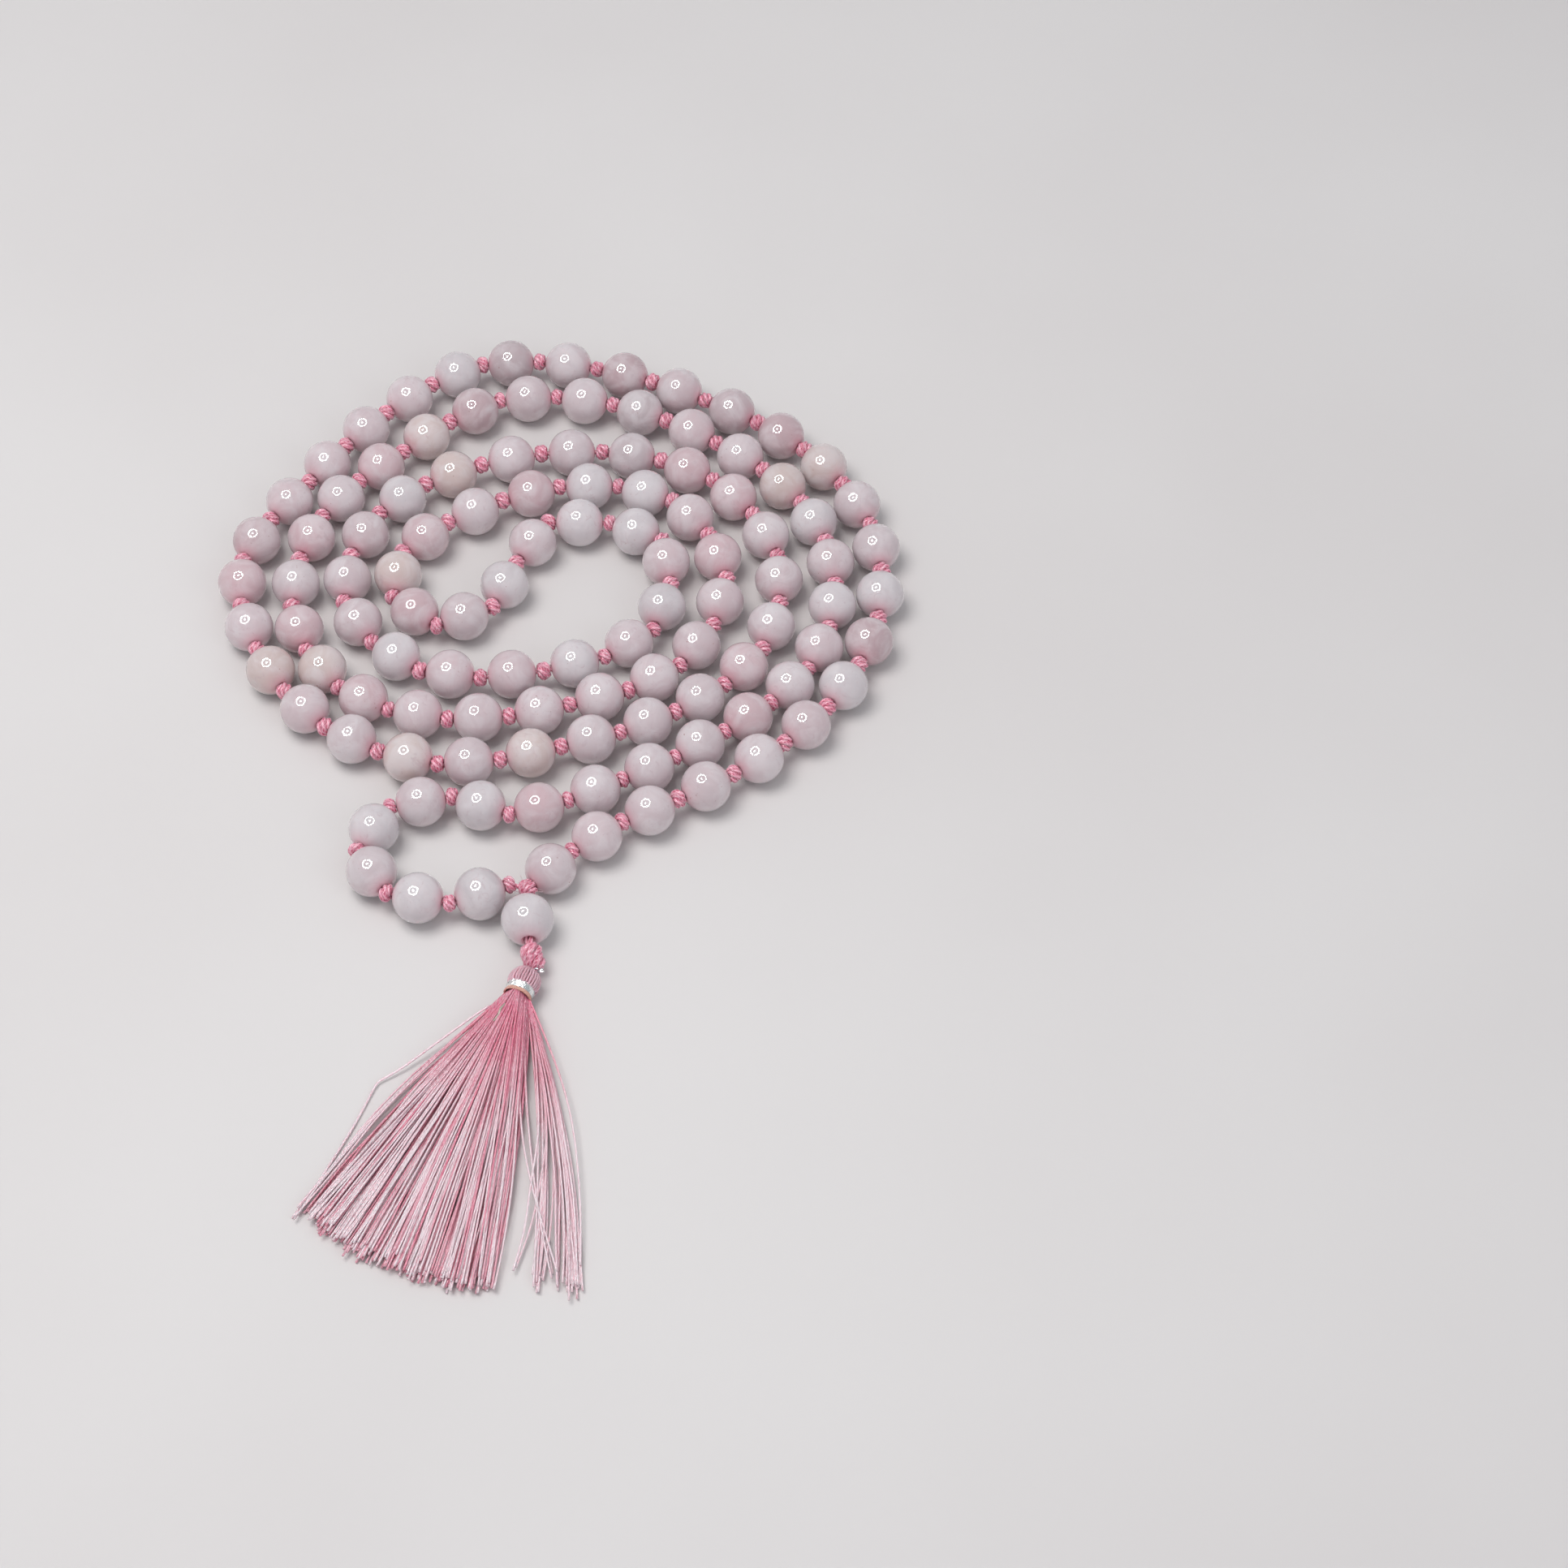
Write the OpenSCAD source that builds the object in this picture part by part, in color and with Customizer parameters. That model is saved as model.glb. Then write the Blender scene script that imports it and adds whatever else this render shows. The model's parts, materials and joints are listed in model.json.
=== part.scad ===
// Mala prayer beads: 108 round stone beads and a guru bead on a knotted silk cord, with a thread tassel.
// The strand lies flat on a table in a folded double coil. Millimetres, +Z up, z = 0 is the table top.

/* [Beads] */
// Diameter of a counting bead; the whole mala grows and shrinks with it
bead_d = 8; // [6:0.5:10]
// Diameter of the hole drilled through a counting bead
bore_d = 1; // [0.9:0.1:1.3]
// Diameter of the flare at each mouth of the hole
flare_d = 1.6; // [1.4:0.1:2]
// How much wider the guru bead is than a counting bead
guru_extra = 0.2; // [0:0.1:0.4]
// Diameter of the guru bead's hole, which takes both ends of the cord
guru_bore_d = 1.8; // [1.7:0.1:2.2]

/* [Cord] */
// Diameter of the silk cord
cord_d = 0.8; // [0.5:0.1:0.8]
// Outer diameter of the knot tied between two beads, except where the cord bends sharply
knot_d = 3; // [2.4:0.1:3.1]
// Diameter of the knot that joins the two ends above the guru bead
join_knot_d = 3; // [2.6:0.1:3.2]
// Diameter of each half of the double knot below the guru bead
guru_knot_d = 3.4; // [2.4:0.1:3.6]

/* [Tassel] */
// Distance from the tassel's swing pivot to the thread tips
tassel_reach = 56; // [44:1:58]
// Angle of the spread main skirt
skirt_angle = 33.5; // [20:0.5:34]
// Angle of the loose bunch of threads beside the skirt
side_angle = 11; // [6:0.5:14]
// Diameter of the rounded head
head_d = 5.2; // [4.4:0.1:5.4]
// Diameter of the metal band round the neck
band_d = 4.4; // [4:0.1:4.8]
// Length of the metal band along the neck
band_length = 1.2; // [0.8:0.1:1.4]
// Thickness of the skirt at its tips, lying on the table
tip_height = 2.4; // [1.6:0.1:3]

/* [Hidden] */
$fn = 48;

// The lay is drawn for this bead, then scaled to bead_d
nominal_bead_d = 8;
bead_r = nominal_bead_d / 2;
last_bead = 108;
flare_depth = 0.35;
// Thickness of the cord where it wraps round itself in a knot
knot_wrap_d = 0.76;
// In a bend sharper than this, in degrees, the beads squeeze the knot smaller and its wraps flatter
tight_bend = 35;
tight_knot_d = 2.2;
tight_wrap_d = 0.6;
// Clear space between a bead and the knot that it presses on
knot_gap = 0.08;
// How far a cutting shape runs past what it cuts
cut_margin = 1;
// Clear space round a pivot, where one body moves past another
pivot_gap = 0.15;

// The strand's route at bead-centre height, from the join knot round both coils and back.
// Each point is [x, y, beads to the next point]: 2 on the easy curves and 1 on the tight bends.
route = [
    [-2.5, -24, 1], [4, -17, 1], [11.5, -11.5, 2], [29, -2, 2], [44, 11.5, 2], [52.5, 30, 2],
    [51.5, 50.5, 2], [40.5, 67.5, 2], [23.5, 79, 2], [4.5, 86.5, 2], [-15.5, 87.5, 2], [-31.5, 76, 2],
    [-43.5, 60, 2], [-53, 42.5, 2], [-49, 23.5, 2], [-36.5, 7.5, 2], [-18, 0, 2], [1.5, 3.5, 2],
    [19.5, 10.5, 2], [33.5, 23.5, 2], [36, 43.5, 2], [25, 60.5, 2], [6, 67, 2], [-14.5, 64, 2],
    [-31, 53, 2], [-35.5, 33.5, 2], [-22, 19, 2], [-2, 19, 2], [15.5, 27.5, 2], [16.5, 47, 2],
    [-2.5, 51, 1], [-7.5, 42, 1], [-11, 32.5, 1], [-20, 28.5, 1], [-27.5, 34.5, 1], [-26.5, 44.5, 1],
    [-19.5, 51, 2], [-1, 59, 2], [18, 56, 2], [27.5, 38.5, 2], [20, 20, 2], [2.5, 12, 2],
    [-17, 9, 2], [-35, 15.5, 2], [-44, 32.5, 2], [-40.5, 52.5, 2], [-28, 67, 2], [-12, 79, 2],
    [7.5, 78, 2], [25.5, 69, 2], [40, 55.5, 2], [45.5, 37.5, 2], [41, 19.5, 2], [27.5, 6.5, 2],
    [11.5, -3, 2], [-6, -10, 1], [-15.5, -6.5, 1], [-25, -8.5, 1], [-29.5, -17, 1], [-24.5, -25, 1],
    [-14.5, -27, 1], [-5.5, -23.5, 0]];

function flat(p) = [p[0], p[1]];
function before(s) = s > 0 ? flat(route[s - 1]) : 2 * flat(route[0]) - flat(route[1]);
function after(s) = s < len(route) - 1 ? flat(route[s + 1]) : 2 * flat(route[s]) - flat(route[s - 1]);
function beads_before(s) = s > 0 ? route[s - 1][2] : 1;
// Direction of travel at a route point, per bead
function heading(s) = (after(s) - before(s)) / (beads_before(s) + max(1, route[s][2]));
// Knot half way along a span of two beads, on the smooth curve through the route points
function middle(s) = (flat(route[s]) + flat(route[s + 1])) / 2 + (heading(s) - heading(s + 1)) / 4;
knots_flat = [for (s = [0:len(route) - 1])
    each (route[s][2] == 2 ? [flat(route[s]), middle(s)] : [flat(route[s])])];

function knot_at(k) = [knots_flat[k][0], knots_flat[k][1], bead_r];
function bead_at(b) = (knot_at(b - 1) + knot_at(b)) / 2;
function bead_turn(b) = atan2(knot_at(b)[1] - knot_at(b - 1)[1], knot_at(b)[0] - knot_at(b - 1)[0]);
// How sharply the cord bends at knot k
function bend_at(k) = k < 1 || k >= last_bead ? 0
    : let (turn = bead_turn(k + 1) - bead_turn(k)) abs(turn - 360 * round(turn / 360));

// The lobe with the guru bead folds up about the line through these two knots
fold_knot_in = 2;
fold_knot_out = 101;

// Beads near the guru bead are single nodes that each turn; the rest go in groups
single_beads = concat([for (b = [1:10]) b], [for (b = [99:last_bead]) b]);
group_size = 4;
group_starts = [for (b = [11:group_size:95]) b];
function digits3(n) = str(floor(n / 100), floor(n / 10) % 10, n % 10);
function single_name(b) = str("bead_", digits3(b));
function group_name(b) = str("beads_", digits3(b), "_", digits3(b + group_size - 1));

// Guru bead, on a line from the join knot to the tassel's pivot
guru_at = [-2.4, -30.1, bead_r + guru_extra / 2];
guru_r = bead_r + guru_extra / 2;
guru_turn = 276;
guru_cord_d = 1.5;
guru_flare_extra = 0.6;
// How far the two cords run past the guru bead, above it and below it
guru_cord_above = 1.5;
guru_cord_below = 0.3;

// The tassel swings and lifts about this point, in the lower half of the guru knot
pivot_at = [-1.1, -37, 2.8];
guru_knot_top = [-1.6, -35.7, 3.2];
tassel_turn = 250;
neck_z = pivot_at[2];

// Places along the tassel from its pivot
tie_at = 2.05;
tie_ring_d = 1.9;
tie_wire_d = 0.4;
tassel_cord_d = 1.4;
tassel_cord_end = 2.45;
dimple_r = 2.75;
head_at = 4.1;
head_end = 5;
piece_gap = 0.05;
rim_d = 4.7;
rim_length = 0.5;
core_d = 1.6;
rim_end = head_end + band_length + rim_length + 2 * piece_gap;
// The skirt's inner edge is an arc round the pivot, so it clears the rim's outer corner
skirt_start = norm([rim_end, rim_d / 2]) + 2 * piece_gap;
table_from = 12;
// Height of the threads where they reach the table, and half way to their tips
shoulder_height = neck_z + 0.8 * band_d / 2;
middle_height = 1.4 * tip_height;
side_gap_angle = 1.5;
tip_bevel = 1;

join_knot_at = [-2.6, -24.2, bead_r];
tube_sides = 8;

// A loose kinked thread that left the skirt, on the tassel's left
stray_d = 0.4;
stray_route = [[-7.6, -44.8, 2.4], [-10, -46.7, 2.3], [-13, -49.2, 2], [-16.5, -52, 1.5], [-20, -54.8, 1],
    [-22.4, -56.4, 0.7], [-23.6, -57.2, 0.6], [-24.3, -58.4, 0.5], [-25.4, -61.2, 0.4], [-27, -65.2, 0.4],
    [-29, -69.6, 0.4], [-30.8, -73.4, 0.4], [-32.2, -76.6, 0.4]];

module to_size() {
    scale(bead_d / nominal_bead_d) children();
}

// Children drawn along +X from the origin go to a point, turned to a heading
module along(at, turn) {
    translate(at) rotate([0, 0, turn]) children();
}

module rod(from, to, d) {
    translate([from, 0, 0]) rotate([0, 90, 0]) cylinder(h = to - from, d = d);
}

// A ball with a flared hole along X, turned from its half outline
module drilled_bead(r, hole_d, mouth_d) {
    mouth_x = sqrt(r * r - mouth_d * mouth_d / 4);
    flare_x = mouth_x - flare_depth;
    past = r + cut_margin;
    rotate([0, 90, 0]) rotate_extrude() difference() {
        circle(r = r);
        polygon([[-past, -past], [hole_d / 2, -past], [mouth_d / 2, -past], [mouth_d / 2, -mouth_x],
            [hole_d / 2, -flare_x], [hole_d / 2, flare_x], [mouth_d / 2, mouth_x],
            [mouth_d / 2, past], [-past, past]]);
    }
}

module counting_bead(b) {
    color([0.88, 0.80, 0.80])
        to_size() along(bead_at(b), bead_turn(b)) drilled_bead(bead_r, bore_d, flare_d);
}

module bead_group(first) {
    for (b = [first:first + group_size - 1]) counting_bead(b);
}

// Heading of the cord at one point of a path, and the ring of corners round that point
function path_turn(path, i) =
    let (a = path[max(0, i - 1)], b = path[min(len(path) - 1, i + 1)]) atan2(b[1] - a[1], b[0] - a[0]);
function path_ring(path, i, d) = [for (j = [0:tube_sides - 1])
    let (turn = path_turn(path, i), w = 360 * j / tube_sides)
    path[i] + d / 2 * [-sin(turn) * cos(w), cos(turn) * cos(w), sin(w)]];

// A closed tube along a path
module tube(path, d) {
    rings = len(path);
    points = [for (i = [0:rings - 1]) each path_ring(path, i, d)];
    walls = [for (i = [0:rings - 2], j = [0:tube_sides - 1])
        let (a = i * tube_sides, n = (j + 1) % tube_sides)
        [a + j, a + n, a + n + tube_sides, a + j + tube_sides]];
    caps = [[for (j = [tube_sides - 1:-1:0]) j],
        [for (j = [0:tube_sides - 1]) (rings - 1) * tube_sides + j]];
    polyhedron(points, concat(walls, caps));
}

// The point a distance past knot k, towards another point
function past_knot(k, to, distance) =
    knot_at(k) + distance * (to - knot_at(k)) / norm(to - knot_at(k));

// The largest ball on knot k that the beads beside it turn freely round
function fold_ball_r(k) =
    min(norm(bead_at(k) - knot_at(k)), norm(bead_at(k + 1) - knot_at(k))) - bead_r - knot_gap;

// The cord wrapped round itself at knot k
module knot_ring(k) {
    tight = bend_at(k) > tight_bend;
    wrap_d = tight ? tight_wrap_d : knot_wrap_d;
    ring_r = ((tight ? tight_knot_d : knot_d) - wrap_d) / 2;
    turn = path_turn(knots_flat, k);
    along(knot_at(k), turn) rotate([0, 90, 0]) rotate_extrude() translate([ring_r, 0])
        circle(d = wrap_d, $fn = 24);
}

module coil_cord() {
    first = fold_knot_in;
    last = fold_knot_out;
    color([0.90, 0.52, 0.64]) to_size() tube(concat(
        [past_knot(first, knot_at(first + 1), fold_ball_r(first) + piece_gap)],
        [for (k = [first + 1:last - 1]) knot_at(k)],
        [past_knot(last, knot_at(last - 1), fold_ball_r(last) + piece_gap)]), cord_d);
}

module coil_knots() {
    color([0.88, 0.48, 0.62]) to_size() {
        for (k = [fold_knot_in + 1:fold_knot_out - 1]) knot_ring(k);
        for (k = [fold_knot_in, fold_knot_out]) translate(knot_at(k)) sphere(r = fold_ball_r(k));
    }
}

// How far the join knot reaches along the cord before bead 1 stops it
join_reach = norm(bead_at(1) - knot_at(0)) - bead_r - knot_gap;
link_length = norm(join_knot_at - knot_at(last_bead)) - join_knot_d / 2 - piece_gap;

// The cord past the two fold knots: a short run to the join knot and a long one round the lobe
module lobe_cord() {
    first = fold_knot_in;
    last = fold_knot_out;
    short_start = past_knot(first, knot_at(first - 1), fold_ball_r(first) + pivot_gap);
    short_end = past_knot(0, knot_at(1), join_reach + piece_gap);
    long_start = past_knot(last, knot_at(last + 1), fold_ball_r(last) + pivot_gap);
    long_end = past_knot(last_bead, join_knot_at, link_length);
    color([0.90, 0.52, 0.64]) to_size() {
        tube(concat([short_start], [for (k = [first - 1:-1:1]) knot_at(k)], [short_end]), cord_d);
        tube(concat([long_start], [for (k = [last + 1:last_bead]) knot_at(k)], [long_end]), cord_d);
    }
}

module lobe_knots() {
    color([0.88, 0.48, 0.62]) to_size() {
        for (k = [1:fold_knot_in - 1]) knot_ring(k);
        for (k = [fold_knot_out + 1:last_bead]) knot_ring(k);
    }
}

module join_knot() {
    color([0.88, 0.48, 0.62]) to_size() difference() {
        translate(join_knot_at) sphere(d = join_knot_d);
        translate(bead_at(1)) sphere(r = bead_r + knot_gap);
    }
}

module guru_bead() {
    color([0.88, 0.80, 0.80]) to_size() along(guru_at, guru_turn)
        drilled_bead(guru_r, guru_bore_d, guru_bore_d + guru_flare_extra);
}

// Both ends of the cord, side by side through the guru bead
module guru_cord() {
    color([0.90, 0.52, 0.64]) to_size() difference() {
        along(guru_at, guru_turn) rod(-guru_r - guru_cord_above, guru_r + guru_cord_below, guru_cord_d);
        translate(join_knot_at) sphere(d = join_knot_d + 2 * piece_gap);
        translate(guru_knot_top) sphere(d = guru_knot_d + 2 * piece_gap);
    }
}

module guru_knot() {
    color([0.88, 0.48, 0.62]) to_size() difference() {
        union() {
            translate(guru_knot_top) sphere(d = guru_knot_d);
            translate(pivot_at) sphere(d = guru_knot_d);
        }
        translate(guru_at) sphere(r = guru_r + knot_gap);
    }
}

// Children drawn along +X lie on the tassel's neck line
module on_neck() {
    along([pivot_at[0], pivot_at[1], neck_z], tassel_turn) children();
}

// Children drawn round the origin lie on the table, about the tassel's pivot
module on_table() {
    along([pivot_at[0], pivot_at[1], 0], tassel_turn) children();
}

module tassel_cord() {
    color([0.90, 0.52, 0.64]) to_size() difference() {
        on_neck() rod(0, tassel_cord_end, tassel_cord_d);
        translate(pivot_at) sphere(d = guru_knot_d + 2 * pivot_gap);
    }
}

module silver_tie() {
    color([0.80, 0.84, 0.86]) to_size() on_neck() translate([tie_at, 0, 0]) rotate([0, 90, 0])
        rotate_extrude() translate([tie_ring_d / 2, 0]) circle(d = tie_wire_d, $fn = 24);
}

// The end of the tassel's cord, which the folded threads hang on inside the head
module tassel_core() {
    color([0.88, 0.48, 0.62]) to_size() on_neck()
        rod(dimple_r + piece_gap, head_end - piece_gap, core_d);
}

// The head's half outline, hollowed for the cord's end and for the knot that it swings about
module head_outline() {
    difference() {
        translate([0, head_at]) circle(d = head_d);
        translate([-head_d, head_end]) square(2 * head_d);
        translate([-head_d, 0]) square([head_d + core_d / 2 + piece_gap, head_end + cut_margin]);
        circle(r = dimple_r);
    }
}

module tassel_head() {
    color([0.90, 0.58, 0.68]) to_size() on_neck() rotate([90, 0, 90]) rotate_extrude() head_outline();
}

module neck_ring(from, length, outer_d) {
    difference() {
        rod(from, from + length, outer_d);
        rod(from - cut_margin, from + length + cut_margin, core_d);
    }
}

module tassel_band() {
    color([0.82, 0.84, 0.84]) to_size() on_neck()
        neck_ring(head_end + piece_gap, band_length, band_d);
}

module tassel_rim() {
    color([0.93, 0.60, 0.52]) to_size() on_neck()
        neck_ring(head_end + band_length + 2 * piece_gap, rim_length, rim_d);
}

// Side outline of the threads: a round neck that settles down to a thin layer on the table
module thread_outline() {
    polygon([[skirt_start, neck_z - band_d / 2], [table_from, 0], [tassel_reach - tip_bevel, 0],
        [tassel_reach, tip_bevel / 2], [tassel_reach, tip_height - tip_bevel / 2],
        [tassel_reach - tip_bevel, tip_height], [tassel_reach / 2, middle_height],
        [table_from, shoulder_height], [skirt_start, neck_z + band_d / 2]]);
}

module tassel_skirt() {
    color([0.90, 0.55, 0.66]) to_size() on_table()
        rotate_extrude(angle = skirt_angle, start = -skirt_angle / 2) thread_outline();
}

module tassel_side_bunch() {
    color([0.93, 0.68, 0.76]) to_size() on_table()
        rotate_extrude(angle = side_angle, start = skirt_angle / 2 + side_gap_angle) thread_outline();
}

module stray_thread() {
    color([0.95, 0.78, 0.82]) to_size() tube(stray_route, stray_d);
}

for (b = single_beads)
    counting_bead(b);
for (b = group_starts)
    bead_group(b);
coil_cord();
coil_knots();
lobe_cord();
lobe_knots();
join_knot();
guru_bead();
guru_cord();
guru_knot();
tassel_cord();
silver_tie();
tassel_core();
tassel_head();
tassel_band();
tassel_rim();
tassel_skirt();
tassel_side_bunch();
stray_thread();
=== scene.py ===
"""The looks of a rose quartz mala, built round its CAD model. Metres, +Z up, the table top at z = 0."""

import json
import math
from collections import namedtuple

import bpy
import numpy as np
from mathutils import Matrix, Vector

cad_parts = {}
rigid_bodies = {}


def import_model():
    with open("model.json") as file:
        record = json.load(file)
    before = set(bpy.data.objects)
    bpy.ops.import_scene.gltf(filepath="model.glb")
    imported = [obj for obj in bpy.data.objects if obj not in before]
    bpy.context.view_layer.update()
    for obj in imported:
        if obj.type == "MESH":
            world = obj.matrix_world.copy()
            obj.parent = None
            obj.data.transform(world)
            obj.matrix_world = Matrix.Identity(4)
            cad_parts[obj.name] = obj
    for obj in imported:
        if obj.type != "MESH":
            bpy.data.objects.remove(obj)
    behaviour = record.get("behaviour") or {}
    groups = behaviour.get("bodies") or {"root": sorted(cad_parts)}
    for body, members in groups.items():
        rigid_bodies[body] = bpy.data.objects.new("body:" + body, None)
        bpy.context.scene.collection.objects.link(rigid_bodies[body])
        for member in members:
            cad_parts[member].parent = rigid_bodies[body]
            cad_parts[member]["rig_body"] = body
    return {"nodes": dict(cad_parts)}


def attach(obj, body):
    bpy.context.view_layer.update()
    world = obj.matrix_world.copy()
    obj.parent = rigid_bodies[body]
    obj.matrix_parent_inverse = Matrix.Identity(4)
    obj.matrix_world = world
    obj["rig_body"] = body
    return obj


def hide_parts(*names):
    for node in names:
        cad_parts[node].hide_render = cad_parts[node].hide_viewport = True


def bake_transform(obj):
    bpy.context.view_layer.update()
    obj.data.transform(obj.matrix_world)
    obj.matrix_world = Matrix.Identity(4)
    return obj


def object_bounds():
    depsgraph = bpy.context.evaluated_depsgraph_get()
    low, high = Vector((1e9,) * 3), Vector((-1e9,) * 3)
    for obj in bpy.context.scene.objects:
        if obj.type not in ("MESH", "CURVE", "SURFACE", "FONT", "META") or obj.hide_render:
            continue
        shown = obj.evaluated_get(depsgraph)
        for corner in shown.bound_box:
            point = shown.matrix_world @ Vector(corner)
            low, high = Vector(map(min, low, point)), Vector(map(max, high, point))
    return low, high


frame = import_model()
cad_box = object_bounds()
rng = np.random.default_rng(seed=108)

MM = 0.001
UP = np.array([0.0, 0.0, 1.0])


def any_phase():
    """A random start for a wave, in radians."""
    return rng.uniform(0, 6)


# ---------------------------------------------------------------- camera

CAMERA_TARGET = Vector((0.037, -0.004, 0.004))
CAMERA_ELEVATION = math.radians(53)
CAMERA_DISTANCE = 0.5393
CAMERA_LENS = 78.26
CAMERA_SENSOR = 36
CAMERA_NEAR = 0.01
CAMERA_FAR = 20


def make_camera():
    data = bpy.data.cameras.new("camera")
    data.lens = CAMERA_LENS
    data.sensor_width = CAMERA_SENSOR
    data.clip_start = CAMERA_NEAR
    data.clip_end = CAMERA_FAR
    camera = bpy.data.objects.new("camera", data)
    back = Vector((0, -math.cos(CAMERA_ELEVATION), math.sin(CAMERA_ELEVATION)))
    camera.location = CAMERA_TARGET + CAMERA_DISTANCE * back
    camera.rotation_euler = (-back).to_track_quat("-Z", "Y").to_euler()
    bpy.context.scene.collection.objects.link(camera)
    bpy.context.scene.camera = camera


make_camera()


# ---------------------------------------------------------------- the strand's route

# The route at bead-centre height, as in the part's source: x, y, and the beads before the next point
ROUTE = [
    (-0.0025, -0.024, 1), (0.004, -0.017, 1), (0.0115, -0.0115, 2), (0.029, -0.002, 2),
    (0.044, 0.0115, 2), (0.0525, 0.030, 2), (0.0515, 0.0505, 2), (0.0405, 0.0675, 2),
    (0.0235, 0.079, 2), (0.0045, 0.0865, 2), (-0.0155, 0.0875, 2), (-0.0315, 0.076, 2),
    (-0.0435, 0.060, 2), (-0.053, 0.0425, 2), (-0.049, 0.0235, 2), (-0.0365, 0.0075, 2),
    (-0.018, 0.0, 2), (0.0015, 0.0035, 2), (0.0195, 0.0105, 2), (0.0335, 0.0235, 2),
    (0.036, 0.0435, 2), (0.025, 0.0605, 2), (0.006, 0.067, 2), (-0.0145, 0.064, 2),
    (-0.031, 0.053, 2), (-0.0355, 0.0335, 2), (-0.022, 0.019, 2), (-0.002, 0.019, 2),
    (0.0155, 0.0275, 2), (0.0165, 0.047, 2), (-0.0025, 0.051, 1), (-0.0075, 0.042, 1),
    (-0.011, 0.0325, 1), (-0.020, 0.0285, 1), (-0.0275, 0.0345, 1), (-0.0265, 0.0445, 1),
    (-0.0195, 0.051, 2), (-0.001, 0.059, 2), (0.018, 0.056, 2), (0.0275, 0.0385, 2),
    (0.020, 0.020, 2), (0.0025, 0.012, 2), (-0.017, 0.009, 2), (-0.035, 0.0155, 2),
    (-0.044, 0.0325, 2), (-0.0405, 0.0525, 2), (-0.028, 0.067, 2), (-0.012, 0.079, 2),
    (0.0075, 0.078, 2), (0.0255, 0.069, 2), (0.040, 0.0555, 2), (0.0455, 0.0375, 2),
    (0.041, 0.0195, 2), (0.0275, 0.0065, 2), (0.0115, -0.003, 2), (-0.006, -0.010, 1),
    (-0.0155, -0.0065, 1), (-0.025, -0.0085, 1), (-0.0295, -0.017, 1), (-0.0245, -0.025, 1),
    (-0.0145, -0.027, 1), (-0.0055, -0.0235, 0)]

BEAD_R = 4 * MM
LAST_BEAD = 108
# The knots that the lobe folds about
FOLD_IN, FOLD_OUT = 2, 101
# The room left between a bead and what is pressed out of it
PRESS_GAP = 0.04 * MM
# The least length that a direction is divided by
TINY = 1e-12


def knots_of(route):
    """Every knot of the strand: the route's points, and one half way along each span of two beads."""
    points = np.array([(x, y, BEAD_R) for x, y, _ in route])
    beads = [n for _, _, n in route]
    ahead = np.vstack([points[1:], 2 * points[-1:] - points[-2:-1]])
    behind = np.vstack([2 * points[:1] - points[1:2], points[:-1]])
    spans = np.array([a + max(1, b) for a, b in zip([1] + beads[:-1], beads)])
    heading = (ahead - behind) / spans[:, None]
    knots = []
    for i, n in enumerate(beads):
        knots.append(points[i])
        if n == 2:
            knots.append((points[i] + points[i + 1]) / 2 + (heading[i] - heading[i + 1]) / 4)
    return np.array(knots)


KNOTS = knots_of(ROUTE)


def unit(v):
    v = np.asarray(v, float)
    return v / np.maximum(np.linalg.norm(v, axis=-1, keepdims=True), TINY)


def bead_centre(b):
    return (KNOTS[b - 1] + KNOTS[b]) / 2


def bead_axis(b):
    return unit(KNOTS[b] - KNOTS[b - 1])


def bead_ball(b):
    """The ball that a soft knot is pressed out of: a counting bead, and a hair more."""
    return bead_centre(b), BEAD_R + PRESS_GAP


# ---------------------------------------------------------------- mesh tools

# Points, four-sided faces, end caps, and for each point a colour and its (along, around, ply height)
Part = namedtuple("Part", "points quads caps tint strand")

# A path that starts steeper than this is framed from +X and not from +Z
STEEP = 0.9


def linear(r, g, b):
    """A linear colour from screen values of 0 to 255."""
    c = np.array([r, g, b], float) / 255
    return np.where(c <= 0.04045, c / 12.92, ((c + 0.055) / 1.055) ** 2.4)


def side_frames(path):
    """The direction of a path at each point, and two directions across it that turn as little as they can."""
    ahead = unit(np.gradient(path, axis=0))
    first = UP if abs(ahead[0][2]) < STEEP else np.array([1.0, 0.0, 0.0])
    side = np.zeros_like(path)
    side[0] = unit(np.cross(first, ahead[0]))
    for i in range(1, len(path)):
        side[i] = unit(side[i - 1] - ahead[i] * (side[i - 1] @ ahead[i]))
    return ahead, side, np.cross(ahead, side)


def grid_quads(rows, columns, closed_rows=False):
    """Faces between the rows of a grid whose columns go all the way round."""
    i = np.arange(rows if closed_rows else rows - 1)[:, None]
    j = np.arange(columns)[None, :]
    i2, j2 = (i + 1) % rows, (j + 1) % columns
    corners = [i * columns + j, i * columns + j2, i2 * columns + j2, i2 * columns + j]
    return np.stack(corners, axis=-1).reshape(-1, 4)


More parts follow.
